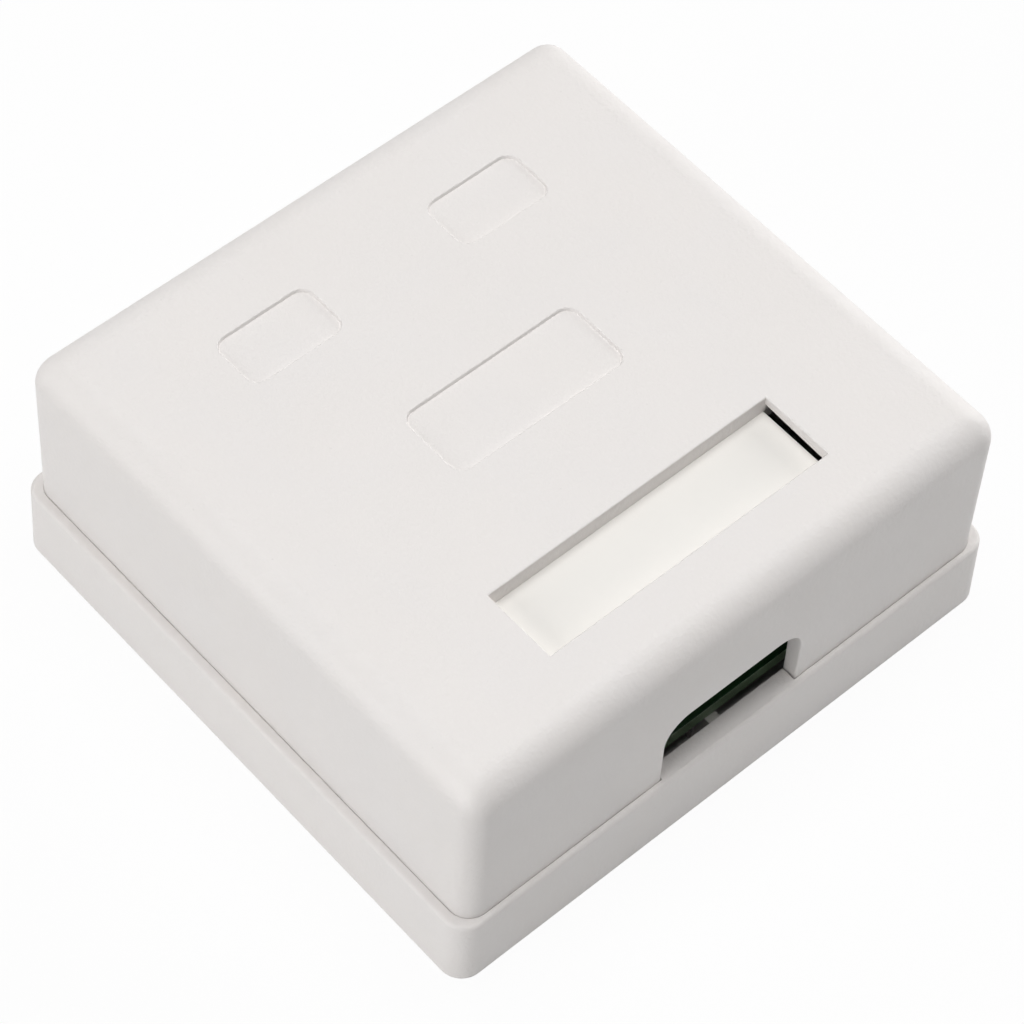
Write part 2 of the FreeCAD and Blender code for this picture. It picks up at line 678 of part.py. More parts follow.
def slot_places():
    """Places of the wire slots along a terminal block."""
    for index in range(round(number("terminal_count"))):
        yield f"({index} - (terminal_count - 1) / 2) * terminal_pitch"


def build_circuit_board():
    """Board with holes for the jacks' legs and for every pin that is soldered into it."""
    body = new_body("circuit_board", z="board_underside")
    outline = sketch_on(body, "board_outline", "XY_Plane")
    add_round_plate(outline, "0", "0", "board_length", "board_width", "board_corner_radius")
    pad(body, outline, "board_thickness")

    for side, sign in SIDES:
        jack = f"{sign}port_pitch / 2"
        holes = sketch_on(body, f"board_holes_{side}", "XY_Plane")
        for leg in ("-", "+"):
            add_plate(holes, f"{jack} {leg} jack_leg_spread", "jack_leg_setback - jack_face",
                      "jack_leg_width + 2 * leg_clearance", "jack_leg_depth + 2 * leg_clearance")
        for across, row in spring_places():
            add_plate(holes, f"{jack} + {across}", f"{row} - jack_face", "spring_size", "spring_size")
        for row in ("terminal_rear_row", "terminal_front_row"):
            for along in slot_places():
                add_plate(holes, f"{jack} + {along}", row, "blade_tail_width", "blade_thickness")
        pocket(body, holes, "board_thickness", reverse=True)
    return body


# ---------------------------------------------------------------- jacks

def build_jack_housing(side, sign):
    """Housing with a stepped plug mouth, latch room, comb in the back wall and a bay underneath.

    Its origin is on the board, in the middle of the jack's face.
    """
    body = new_body(f"jack_housing_{side}", f"{sign}port_pitch / 2", "-jack_face", "board_height")
    block = sketch_on(body, f"jack_block_{side}", "XY_Plane")
    add_rectangle(block, "0", "0", "jack_width", "jack_depth")
    pad(body, block, "jack_height")
    fillet(body, "jack_face_radius", lambda item: upright(item) and abs(item.BoundBox.YMax) < 1e-4)

    roof = "mouth_floor + mouth_height"
    step = f"{roof} + key_height"
    top = f"{step} + key_slot_height"
    mouth = sketch_on(body, f"jack_mouth_{side}", "XZ_Plane")
    half = [("mouth_width / 2", "mouth_floor"), ("mouth_width / 2", roof), ("key_width / 2", roof),
            ("key_width / 2", step), ("key_slot_width / 2", step), ("key_slot_width / 2", top)]
    add_outline(mouth, half + [(f"-({x})", z) for x, z in reversed(half)])
    pocket(body, mouth, "key_wall")
    hall = sketch_on(body, f"jack_hall_{side}", "XZ_Plane")
    add_rectangle(hall, "0", "mouth_floor", "mouth_width", roof)
    pocket(body, hall, "mouth_depth")
    room = sketch_on(body, f"latch_room_{side}", "XZ_Plane", "-key_wall")
    add_rectangle(room, "0", roof, "key_width", top)
    pocket(body, room, "key_room_depth")
    bay = sketch_on(body, f"insert_bay_{side}", "XZ_Plane", "-key_wall")
    add_rectangle(bay, "0", "-mouth_floor", "bay_width", "mouth_floor")
    pocket(body, bay, "jack_depth")

    legs = sketch_on(body, f"jack_legs_{side}", "XY_Plane")
    for leg in ("-", ""):
        add_plate(legs, f"{leg}jack_leg_spread", "jack_leg_setback", "jack_leg_width", "jack_leg_depth")
    pad(body, legs, "jack_leg_length", reverse=True)

    comb = sketch_on(body, f"comb_slot_{side}", "XZ_Plane", "-mouth_depth")
    add_rectangle(comb, "-(spring_count - 1) / 2 * spring_pitch", "mouth_floor", "spring_groove_width",
                  "mouth_floor + comb_height")
    slot = pocket(body, comb, "comb_depth")
    repeat(body, slot, "X_Axis", "(spring_count - 1) * spring_pitch", "spring_count")
    return body


def build_jack_insert(side, sign):
    """Insert that closes the jack's floor and carries the contacts in grooves."""
    body = new_body(f"jack_insert_{side}", f"{sign}port_pitch / 2", "-jack_face", "board_height")
    block = sketch_on(body, f"insert_block_{side}", "XY_Plane")
    add_rectangle(block, "0", "insert_front", "bay_width - 2 * insert_clearance", "insert_back")
    pad(body, block, "mouth_floor")
    groove = sketch_on(body, f"insert_groove_{side}", "XZ_Plane")
    add_rectangle(groove, "-(spring_count - 1) / 2 * spring_pitch", "mouth_floor - spring_groove_depth",
                  "spring_groove_width", "mouth_floor + spring_groove_depth")
    cut = pocket(body, groove)
    repeat(body, cut, "X_Axis", "(spring_count - 1) * spring_pitch", "spring_count")
    drops = sketch_on(body, f"pin_drops_{side}", "XY_Plane")
    for across, row in spring_places():
        if row == "front_pin_row":
            add_plate(drops, across, row, "spring_groove_width", "spring_groove_width")
    pocket(body, drops, reverse=True)
    return body


def ribbon(points, half):
    """Closed outline at an equal distance either side of a bent line in the YZ plane."""
    directions = [(end - start).normalize() for start, end in zip(points, points[1:])]
    offsets = []
    for before, after in zip(directions[:1] + directions, directions + directions[-1:]):
        mitre = FreeCAD.Vector(0, -before.z - after.z, before.y + after.y)
        reach = half / math.cos(before.getAngle(after) / 2)
        offsets.append(mitre.normalize() * reach)
    outline = [point + offset for point, offset in zip(points, offsets)]
    outline += [point - offset for point, offset in reversed(list(zip(points, offsets)))]
    return Part.makePolygon(outline + outline[:1])


def spring_contact(across, row):
    """Square wire: up from the board, forwards along the insert, round the bend and back as a free arm."""
    x = number(across)
    pin = number(row)
    rest = number("insert_rest")
    bend = number("spring_bend_radius")
    front = number("spring_front")
    slope = math.radians(number("spring_slope"))
    arm = number("spring_arm_length")
    size = number("spring_size")
    steps = round(number("spring_bend_steps"))
    half_turn = math.pi + slope

    def at(y, z):
        return FreeCAD.Vector(x - size / 2, y, z)

    def on_bend(step):
        angle = -math.pi / 2 - half_turn * step / steps
        return at(front + bend + bend * math.cos(angle), rest + bend + bend * math.sin(angle))
    leave = on_bend(steps)
    tip = leave + FreeCAD.Vector(0, arm * math.cos(slope), arm * math.sin(slope))
    line = [at(pin, -number("tail_depth")), at(pin, rest)]
    line += [on_bend(step) for step in range(steps + 1)] + [tip]
    return Part.Face(ribbon(line, size / 2)).extrude(FreeCAD.Vector(size, 0, 0))


def build_jack_contacts(side, sign):
    """The eight spring contacts of one jack, as separate solids."""
    springs = [spring_contact(across, row) for across, row in spring_places()]
    return new_feature(f"jack_contacts_{side}", springs, f"{sign}port_pitch / 2", "-jack_face",
                       "board_height")


def new_feature(name, solids, x, y, z):
    """Plain shape feature that holds a group of equal solids."""
    feature = document.addObject("Part::Feature", name)
    feature.Label = name
    feature.Shape = Part.makeCompound(solids)
    bind(feature, "Placement.Base.x", x)
    bind(feature, "Placement.Base.y", y)
    bind(feature, "Placement.Base.z", z)
    return feature


# ---------------------------------------------------------------- punch-down terminals

def build_terminal_block(name, sign, row):
    """Block with pointed pillars between its wire slots and a pocket for each forked contact."""
    body = new_body(f"terminal_block_{name}", f"{sign}port_pitch / 2", row, "board_height")
    profile = sketch_on(body, f"pillars_{name}", "XZ_Plane")
    end = "(terminal_count - 1) / 2 * terminal_pitch + wire_slot_width / 2 + terminal_end_wall"
    shoulder = "terminal_height - pillar_point_height"
    points = [(f"-({end})", "0")]
    left = f"-({end})"
    for along in slot_places():
        right = f"{along} - wire_slot_width / 2"
        middle = f"({left} + {right}) / 2"
        points += [(left, shoulder), (f"{middle} - pillar_tip / 2", "terminal_height"),
                   (f"{middle} + pillar_tip / 2", "terminal_height"), (right, shoulder),
                   (right, "wire_slot_floor")]
        left = f"{along} + wire_slot_width / 2"
        points.append((left, "wire_slot_floor"))
    middle = f"({left} + {end}) / 2"
    points += [(left, shoulder), (f"{middle} - pillar_tip / 2", "terminal_height"),
               (f"{middle} + pillar_tip / 2", "terminal_height"), (end, shoulder), (end, "0")]
    add_outline(profile, points)
    pad(body, profile, "terminal_width", midplane=True)
    pockets = sketch_on(body, f"blade_pockets_{name}", "XY_Plane")
    for along in slot_places():
        add_plate(pockets, along, "0", "blade_width + 2 * blade_clearance",
                  "blade_thickness + 2 * blade_clearance")
    pocket(body, pockets, reverse=True)
    return body


def forked_blade(along):
    """Flat contact with two tines, a flared slit between them and a solder tail."""
    x = number(along)
    half = number("blade_width") / 2
    slit = number("blade_slit") / 2
    flare = number("blade_mouth") / 2
    top = number("blade_height")
    floor = number("blade_slit_floor")
    tail = number("blade_tail_width") / 2
    side = [(tail, -number("tail_depth")), (tail, 0), (half, 0), (half, top), (flare, top),
            (slit, top - 2 * flare), (slit, floor)]
    outline = side + [(-u, z) for u, z in reversed(side)]
    outline.append(outline[0])
    thick = number("blade_thickness")
    wire = Part.makePolygon([FreeCAD.Vector(x + u, -thick / 2, z) for u, z in outline])
    return Part.Face(wire).extrude(FreeCAD.Vector(0, thick, 0))


def build_terminal_contacts(name, sign, row):
    """The forked contacts of one terminal block, as separate solids."""
    blades = [forked_blade(along) for along in slot_places()]
    return new_feature(f"terminal_contacts_{name}", blades, f"{sign}port_pitch / 2", row, "board_height")


# ---------------------------------------------------------------- whole box

def build_all():
    pieces = [build_base_tray(), build_cover(), build_label_card(), build_circuit_board()]
    for side, sign in SIDES:
        pieces += [build_jack_housing(side, sign), build_jack_insert(side, sign),
                   build_jack_contacts(side, sign)]
        for place in ("front", "rear"):
            name = f"{side}_{place}"
            row = f"terminal_{place}_row"
            pieces += [build_terminal_block(name, sign, row), build_terminal_contacts(name, sign, row)]
    document.recompute()
    return pieces


def check(pieces):
    """Stop where a feature failed or a piece isn't sound."""
    for item in document.Objects:
        if {"Invalid", "Error"} & set(item.State):
            raise ValueError(f"{item.Name} failed: {item.State}")
    for piece in pieces:
        if piece.Shape.isNull() or not piece.Shape.isValid() or not piece.Shape.Solids:
            raise ValueError(f"{piece.Label} isn't a sound solid")


def write(pieces, folder="parts"):
    os.makedirs(folder, exist_ok=True)
    for piece in pieces:
        piece.Shape.exportStep(f"{folder}/{piece.Label}.step")
        print(f"{piece.Label}: {len(piece.Shape.Solids)} solid(s), {piece.Shape.Volume:.1f} mm3")


all_pieces = build_all()
check(all_pieces)
write(all_pieces)
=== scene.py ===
"""Looks of a two-port surface mount jack box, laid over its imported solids.

Lengths are metres. +Z points out of the wall, the jack mouths open towards -Y and the
cable comes in through the +Y side.
"""

import logging
import math
from collections.abc import Iterator, Sequence
from dataclasses import dataclass
from enum import Enum
from typing import Any

import bmesh
import bpy
from mathutils import Euler, Matrix, Vector


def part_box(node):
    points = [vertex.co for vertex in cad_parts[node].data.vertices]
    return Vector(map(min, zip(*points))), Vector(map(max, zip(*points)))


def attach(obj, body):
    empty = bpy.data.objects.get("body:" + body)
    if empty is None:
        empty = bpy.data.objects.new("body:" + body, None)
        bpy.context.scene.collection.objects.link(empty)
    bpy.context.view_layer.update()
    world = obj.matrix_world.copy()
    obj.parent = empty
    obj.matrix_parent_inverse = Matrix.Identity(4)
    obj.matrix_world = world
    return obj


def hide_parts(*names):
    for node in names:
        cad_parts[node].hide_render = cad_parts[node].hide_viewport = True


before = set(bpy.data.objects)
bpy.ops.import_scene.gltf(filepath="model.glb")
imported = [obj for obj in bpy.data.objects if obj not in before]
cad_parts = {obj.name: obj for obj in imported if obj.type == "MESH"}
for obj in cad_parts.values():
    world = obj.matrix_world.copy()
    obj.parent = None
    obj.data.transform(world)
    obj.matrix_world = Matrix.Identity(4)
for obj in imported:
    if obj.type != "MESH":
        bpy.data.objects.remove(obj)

log = logging.getLogger("jack_box")
MM = 0.001
Colour = tuple[float, float, float]
Place = tuple[float, float, float]
Point = tuple[float, float]


class Body(Enum):
    """Bodies of the frame that pieces ride on."""

    BASE = "base_assembly"
    COVER = "cover_assembly"


class Slot(Enum):
    """Material slots of the record."""

    TRAY = "tray_plastic"
    COVER = "cover_plastic"
    CARD = "label_paper"
    BOARD = "board_laminate"
    JACK = "jack_plastic"
    INSERT = "insert_plastic"
    SPRING = "contact_gold"
    TERMINAL = "terminal_plastic"
    BLADE = "contact_tin"


class Side(Enum):
    """The two ports, with the sign of their X."""

    LEFT = -1
    RIGHT = 1

    @property
    def word(self) -> str:
        """The side's word in node names."""
        return self.name.lower()


class Row(Enum):
    """The two rows of terminal blocks."""

    FRONT = "front"
    REAR = "rear"


class Facing(Enum):
    """Where a moulding's face looks, with the sign of its Z."""

    UP = 1
    DOWN = -1


# ---------------------------------------------------------------- shader nodes

class Signal:
    """Output of a shader node, which can be used in sums, differences and products."""

    def __init__(self, graph: "Graph", socket: bpy.types.NodeSocket) -> None:
        """Wraps one output socket of a graph."""
        self.graph = graph
        self.socket = socket

    def _math(self, operation: str, *values: "Signal | float") -> "Signal":
        """Adds one Math node."""
        return self.graph.node("ShaderNodeMath", {"operation": operation}, dict(enumerate(values)))

    def __add__(self, other: "Signal | float") -> "Signal":
        """Sum."""
        return self._math("ADD", self, other)

    __radd__ = __add__

    def __sub__(self, other: "Signal | float") -> "Signal":
        """Difference."""
        return self._math("SUBTRACT", self, other)

    def __rsub__(self, other: "Signal | float") -> "Signal":
        """Difference with the number first."""
        return self._math("SUBTRACT", other, self)

    def __mul__(self, other: "Signal | float") -> "Signal":
        """Product."""
        return self._math("MULTIPLY", self, other)

    __rmul__ = __mul__

    def __abs__(self) -> "Signal":
        """Distance from zero."""
        return self._math("ABSOLUTE", self)

    def largest(self, other: "Signal | float") -> "Signal":
        """The larger of two values."""
        return self._math("MAXIMUM", self, other)

    def sine(self) -> "Signal":
        """Sine of an angle in radians."""
        return self._math("SINE", self)

    def step(self, low: float, high: float) -> "Signal":
        """Smooth rise from 0 at one value to 1 at another.

        Args:
            low: value where the rise starts.
            high: value where it ends.

        Returns:
            The risen signal, between 0 and 1.
        """
        return self.graph.node("ShaderNodeMapRange", {"interpolation_type": "SMOOTHSTEP"},
                               {0: self, 1: low, 2: high, 3: 0.0, 4: 1.0})

    def wave(self, pitch: float) -> "Signal":
        """Sine wave of this length in metres, between -1 and 1."""
        return (self * (2 * math.pi / pitch)).sine()

    def lifted(self) -> "Signal":
        """Brings a signal from between -1 and 1 to between 0 and 1."""
        return self * 0.5 + 0.5


class Graph:
    """Node tree of a material or a sky."""

    def __init__(self, tree: bpy.types.NodeTree) -> None:
        """Takes over a node tree."""
        self.tree = tree

    def node(self, kind: str, settings: dict[str, Any] | None = None,
             values: dict[str | int, Any] | None = None, output: str | int = 0) -> Signal:
        """Adds a node, sets it up, then feeds its sockets.

        Args:
            kind: the node's type.
            settings: attributes, set first.
            values: numbers, colours or signals by socket name or index.
            output: name or index of the output that is handed on.

        Returns:
            The chosen output as a signal.
        """
        item = self.tree.nodes.new(kind)
        for name, value in (settings or {}).items():
            setattr(item, name, value)
        for key, value in (values or {}).items():
            self.feed(item.inputs[key], value)
        return Signal(self, item.outputs[output])

    def feed(self, socket: bpy.types.NodeSocket, value: Any) -> None:
        """Links a signal to a socket, or sets the socket's own value.

        Args:
            socket: input socket of a node.
            value: signal, number, vector or colour.
        """
        if isinstance(value, Signal):
            self.tree.links.new(value.socket, socket)
        elif socket.type == "RGBA":
            socket.default_value = (*value, 1.0)
        else:
            socket.default_value = value

    def place(self) -> Signal:
        """Object coordinates."""
        return self.node("ShaderNodeTexCoord", output="Object")

    def parts(self, vector: Signal) -> tuple[Signal, ...]:
        """The three numbers of a vector."""
        split = self.node("ShaderNodeSeparateXYZ", values={0: vector})
        return tuple(Signal(self, output) for output in split.socket.node.outputs)

    def noise(self, size: float, detail: float = 2.0, stretch: Place = (1, 1, 1),
              shift: float = 0.0) -> Signal:
        """Noise between 0 and 1.

        Args:
            size: width of one blotch.
            detail: finer layers on top.
            stretch: how much finer the pattern is along each axis.
            shift: moves the pattern, so that two noises differ.

        Returns:
            The noise.
        """
        scaled = self.node("ShaderNodeMapping", values={
            "Vector": self.place(), "Scale": stretch, "Location": (shift, shift, shift)})
        return self.node("ShaderNodeTexNoise",
                         values={"Vector": scaled, "Scale": 1 / size, "Detail": detail})

    def cells(self, size: float) -> Signal:
        """Distance to the middle of the nearest cell, in cells of a given size."""
        return self.node("ShaderNodeTexVoronoi", {"feature": "F1"},
                         {"Vector": self.place(), "Scale": 1 / size}, "Distance")

    def mix(self, factor: Signal | float, low: Signal | Colour, high: Signal | Colour,
            blend: str = "MIX") -> Signal:
        """Mixes two colours.

        Args:
            factor: share of the second one.
            low: first colour.
            high: second colour.
            blend: how the two are combined.

        Returns:
            The mixed colour.
        """
        return self.node("ShaderNodeMix", {"data_type": "RGBA", "blend_type": blend},
                         {0: factor, 6: low, 7: high}, 2)

    def tinted(self, colour: Signal | Colour, gain: Signal) -> Signal:
        """Colour made lighter or darker by a gain about 1."""
        grey = self.node("ShaderNodeCombineXYZ", values={0: gain, 1: gain, 2: gain})
        return self.mix(1.0, colour, grey, "MULTIPLY")

    def bump(self, height: Signal, depth: float) -> Signal:
        """Normal of a surface with a height between 0 and 1 times a depth."""
        return self.node("ShaderNodeBump", values={"Height": height, "Distance": depth, "Strength": 1.0})


class Finish(Graph):
    """Node tree of a new material, with its Principled shader ready."""

    def __init__(self, name: str) -> None:
        """Makes the material and finds its shader.

        Args:
            name: the material's name.
        """
        self.material = bpy.data.materials.new(name)
        self.material.use_nodes = True
        super().__init__(self.material.node_tree)
        self.shader = self.tree.nodes["Principled BSDF"]

    def surface(self, **values: Any) -> bpy.types.Material:
        """Feeds the Principled shader.

        Args:
            **values: numbers, colours or signals by socket name, with underscores for spaces.

        Returns:
            The finished material.
        """
        for name, value in values.items():
            self.feed(self.shader.inputs[name.replace("_", " ").title().replace("Ior", "IOR")], value)
        return self.material


def lighter(colour: Colour, gain: float) -> Colour:
    """Colour times a number."""
    return tuple(min(1.0, part * gain) for part in colour)


# ---------------------------------------------------------------- finishes

@dataclass(frozen=True)
class MouldedFinish:
    """Matt moulding with the fine grain of a spark-eroded mould, a little dust and handling marks."""

    name: str
    colour: Colour
    cool_tint: Colour = (0.988, 0.994, 1.004)
    roughness: float = 0.50
    grain_size: float = 0.45 * MM
    grain_depth: float = 0.08 * MM
    patch_size: float = 2.2 * MM
    handled_size: float = 6.0 * MM
    cool_size: float = 9.0 * MM
    cloud_size: float = 14.0 * MM
    dust_spacing: float = 2.6 * MM
    dust_strength: float = 0.12

    def material(self) -> bpy.types.Material:
        """Builds the finish.

        Returns:
            The material.
        """
        finish = Finish(self.name)
        fine = finish.noise(self.grain_size, 3.0)
        coarse = finish.noise(3 * self.grain_size, 1.0, shift=0.4)
        grain = fine * 0.75 + coarse * 0.25
        cloud = finish.noise(self.cloud_size, 2.0, shift=0.7)
        patch = finish.noise(self.patch_size, 2.0, shift=0.2)
        gain = 0.972 + 0.030 * cloud + 0.012 * patch + 0.016 * grain
        cool = finish.noise(self.cool_size, 1.0, shift=0.9).step(0.35, 0.75)
        colour = finish.tinted(finish.mix(0.5 * cool, self.colour, self.cooler()), gain)
        clean = finish.cells(self.dust_spacing).step(0.020, 0.045)
        colour = finish.mix((1.0 - clean) * self.dust_strength, colour, lighter(self.colour, 0.45))
        handled = finish.noise(self.handled_size, 3.0, shift=0.1).step(0.42, 0.70)
        return finish.surface(base_color=colour, roughness=self.roughness + 0.06 * grain - 0.07 * handled,
                              normal=finish.bump(grain, self.grain_depth), ior=1.53)

    def cooler(self) -> Colour:
        """The colour's slightly cooler neighbour."""
        return tuple(part * tint for part, tint in zip(self.colour, self.cool_tint))


@dataclass(frozen=True)
class CardFinish:
    """Smooth white card with paper fibres."""

    name: str
    colour: Colour
    fibre_width: float = 0.25 * MM
    fibre_stretch: float = 0.25
    fibre_depth: float = 0.006 * MM
    cloud_size: float = 4.0 * MM

    def material(self) -> bpy.types.Material:
        """Builds the finish.

        Returns:
            The material.
        """
        finish = Finish(self.name)
        along = finish.noise(self.fibre_width, 3.0, stretch=(self.fibre_stretch, 1, 1))
        across = finish.noise(self.fibre_width, 3.0, stretch=(1, self.fibre_stretch, 1), shift=0.5)
        fibre = along.largest(across)
        cloud = finish.noise(self.cloud_size, 2.0, shift=0.3)
        colour = finish.tinted(self.colour, 0.965 + 0.030 * cloud + 0.02 * fibre)
        return finish.surface(base_color=colour, roughness=0.78 + 0.12 * fibre,
                              normal=finish.bump(fibre, self.fibre_depth), ior=1.48)


@dataclass(frozen=True)
class BoardFinish:
    """Green solder mask over glass cloth, with bare board on its edges, in the board's own pale colour made
    lighter as a painted highlight.
    """

    name: str
    mask: Colour
    laminate: Colour
    cloth_pitch: float = 0.42 * MM
    layer_pitch: float = 0.17 * MM
    relief_depth: float = 0.008 * MM
    cloud_size: float = 5.0 * MM
    ragged_size: float = 0.6 * MM
    glass_size: float = 0.2 * MM

    def material(self) -> bpy.types.Material:
        """Builds the finish.

        Returns:
            The material.
        """
        finish = Finish(self.name)
        x, y, z = finish.parts(finish.place())
        weave = (x.wave(self.cloth_pitch) * y.wave(self.cloth_pitch)).lifted()
        cloud = finish.noise(self.cloud_size, 2.0)
        mask = finish.tinted(self.mask, 0.82 + 0.22 * cloud + 0.16 * weave)
        ragged = finish.noise(self.ragged_size, 2.0) * 2.0
        layers = (z * (2 * math.pi / self.layer_pitch) + ragged).sine().lifted()
        # Edge colour: the bare board's own colour made lighter, as a painted highlight along the board's
        # edges.
        edge_and_highlight = finish.tinted(self.laminate, 0.65 + 0.35 * layers + 0.25 * finish.noise(self.glass_size, 3.0))
        normal = finish.node("ShaderNodeNewGeometry", output="True Normal")
        _, _, upward = finish.parts(normal)
        flat = abs(upward).step(0.5, 0.8)
        relief = weave * flat + layers * (1.0 - flat)
        return finish.surface(base_color=finish.mix(flat, edge_and_highlight, mask), ior=1.55,
                              roughness=0.42 - 0.14 * flat + 0.08 * cloud,
                              normal=finish.bump(relief, self.relief_depth))


@dataclass(frozen=True)
class FilmFinish:
    """Thin film on the board: printed ink, or mask over a copper track."""

    name: str
    colour: Colour
    roughness: float
    mottle_size: float = 0.35 * MM
    mottle_depth: float = 0.004 * MM
    cloud_size: float = 3.0 * MM

    def material(self) -> bpy.types.Material:
        """Builds the finish.

        Returns:
            The material.
        """
        finish = Finish(self.name)
        mottle = finish.noise(self.mottle_size, 3.0)
        cloud = finish.noise(self.cloud_size, 1.0, shift=0.8)
        return finish.surface(base_color=finish.tinted(self.colour, 0.84 + 0.14 * mottle + 0.12 * cloud),
                              roughness=self.roughness + 0.08 * mottle,
                              normal=finish.bump(mottle, self.mottle_depth), ior=1.52)


@dataclass(frozen=True)
class SatinFinish:
    """Satin moulding of a small connector part."""

    name: str
    colour: Colour
    roughness: float = 0.34
    grain_size: float = 0.12 * MM
    grain_depth: float = 0.003 * MM
    flow_size: float = 2.5 * MM

    def material(self) -> bpy.types.Material:
        """Builds the finish.

        Returns:
            The material.
        """
        finish = Finish(self.name)
        fine = finish.noise(self.grain_size, 3.0)
        flow = finish.noise(self.flow_size, 2.0, stretch=(1, 1, 0.35), shift=0.6)
        colour = finish.tinted(self.colour, 0.93 + 0.08 * flow + 0.03 * fine)
        return finish.surface(base_color=colour, roughness=self.roughness + 0.10 * flow,
                              normal=finish.bump(fine, self.grain_depth), ior=1.5)


@dataclass(frozen=True)
class MetalFinish:
    """Plated metal with drawing lines and slight tarnish."""

    name: str
    colour: Colour
    tarnish: Colour
    roughness: float = 0.22
    line_width: float = 0.05 * MM
    line_depth: float = 0.002 * MM
    stain_size: float = 0.8 * MM

    def material(self) -> bpy.types.Material:
        """Builds the finish.

        Returns:
            The material.
        """
        finish = Finish(self.name)
        lines = finish.noise(self.line_width, 2.0, stretch=(1, 0.1, 0.1))
        stain = finish.noise(self.stain_size, 3.0, shift=0.3).step(0.50, 0.78)
        colour = finish.mix(0.55 * stain, self.colour, self.tarnish)
        return finish.surface(base_color=colour, metallic=1.0,
                              roughness=self.roughness + 0.12 * lines + 0.15 * stain,
                              normal=finish.bump(lines, self.line_depth))


# ---------------------------------------------------------------- mesh work

WELD = 0.002 * MM                       # points closer than this are one
FLAT = math.radians(0.6)                # faces that turn less than this are one
CORNER = math.radians(28)               # outward edges that turn more than this are rounded
INSIDE_CREASE = math.radians(32)        # edges that turn more than these two stay sharp to the eye
OUTSIDE_CREASE = math.radians(62)
WALL_TILT = 0.9                         # faces that look upwards less than this are walls


def fit_out(piece: bpy.types.Object, body: Body, slot: Slot, material: bpy.types.Material,
            *nodes: str) -> None:
    """Gives a piece its finish, its body and its slot, and reports it.

    Args:
        piece: the finished piece.
        body: what it moves with.
        slot: the record's slot of its finish; not used.
        material: its finish.
        *nodes: nodes of the frame that it stands for.
    """
    piece.data.materials.clear()
    piece.data.materials.append(material)
    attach(piece, body.value)
    if nodes:
        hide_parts(*nodes)
    log.info("%s: %d faces, %s", piece.name, len(piece.data.polygons), material.name)


def piece_from(form: bmesh.types.BMesh, name: str) -> bpy.types.Object:
    """Turns a form into a piece whose flats look flat and whose rounds look round.

    Args:
        form: the form, which is freed.
        name: the piece's name.

    Returns:
        The piece, in the scene.
    """
    for face in form.faces:
        face.smooth = True
    for edge in form.edges:
        crease = OUTSIDE_CREASE if edge.is_convex else INSIDE_CREASE
        edge.smooth = edge.is_manifold and edge.calc_face_angle() < crease
    mesh = bpy.data.meshes.new(name)
    form.to_mesh(mesh)
    form.free()
    piece = bpy.data.objects.new(name, mesh)
    bpy.context.scene.collection.objects.link(piece)
    weighted = piece.modifiers.new("even_normals", "WEIGHTED_NORMAL")
    weighted.keep_sharp = True
    shown = piece.evaluated_get(bpy.context.evaluated_depsgraph_get())
    finished = bpy.data.meshes.new_from_object(shown)
    piece.modifiers.clear()
    piece.data = finished
    bpy.data.meshes.remove(mesh)
    finished.name = name
    return piece


def corner_edges(form: bmesh.types.BMesh) -> list[bmesh.types.BMEdge]:
    """Sharp outward edges of a form."""
    return [edge for edge in form.edges
            if edge.is_manifold and edge.is_convex and edge.calc_face_angle() > CORNER]


def round_edges(form: bmesh.types.BMesh, edges: Sequence[bmesh.types.BMEdge], radius: float,
                segments: int = 2) -> None:
    """Rounds some edges of a form.

    Args:
        form: the form to change.
        edges: the edges.
        radius: how far each round reaches over the two faces.
        segments: steps round each edge.
    """
    bmesh.ops.bevel(form, geom=edges, offset=radius, offset_type="OFFSET", segments=segments,
                    profile=0.5, affect="EDGES", clamp_overlap=False, material=-1, loop_slide=True)


def copy_of(node: str) -> bmesh.types.BMesh:
    """Form of a node with its triangles joined into whole faces.

    Args:
        node: the node of the frame.

    Returns:
        The form.
    """
    form = bmesh.new()
    form.from_mesh(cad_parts[node].data)
    bmesh.ops.remove_doubles(form, verts=form.verts, dist=WELD)
    bmesh.ops.dissolve_limit(form, angle_limit=FLAT, verts=form.verts, edges=form.edges,
                             use_dissolve_boundaries=False, delimit=set())
    return form


def grow(form: bmesh.types.BMesh, node: str, ease: Point) -> None:
    """Makes the copy of a node a little wider about its own middle.

    Args:
        form: the copy.
        node: the node of the frame.
        ease: how far its sides move outwards along X and along Y.
    """
    low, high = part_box(node)
    size = high - low
    factors = (1 + 2 * ease[0] / size.x, 1 + 2 * ease[1] / size.y, 1)
    bmesh.ops.scale(form, verts=form.verts, vec=factors, space=Matrix.Translation(-(low + high) / 2))


def rounded_copy(node: str, name: str, radius: float) -> bpy.types.Object:
    """Copy of a node with the small rounds that a mould or a cutter leaves.

    Args:
        node: the node of the frame.
        name: the copy's name.
        radius: size of the rounds.

    Returns:
        The copy, in the scene.
    """
    form = copy_of(node)
    round_edges(form, corner_edges(form), radius)
    return piece_from(form, name)


def close(form: bmesh.types.BMesh) -> None:
    """Merges doubles, closes open ends and turns the faces outwards.

    Args:
        form: the form to change.
    """
    bmesh.ops.remove_doubles(form, verts=form.verts, dist=WELD)
    bmesh.ops.holes_fill(form, edges=[edge for edge in form.edges if edge.is_boundary], sides=0)
    bmesh.ops.recalc_face_normals(form, faces=form.faces)


def thicken(form: bmesh.types.BMesh, height: float) -> None:
    """Turns flat faces into closed plates.

    Args:
        form: form whose faces all lie flat.
        height: how far the plates rise.
    """
    drawn = bmesh.ops.extrude_face_region(form, geom=form.faces[:])["geom"]
    verts = [item for item in drawn if isinstance(item, bmesh.types.BMVert)]
    bmesh.ops.translate(form, verts=verts, vec=(0, 0, height))
    close(form)


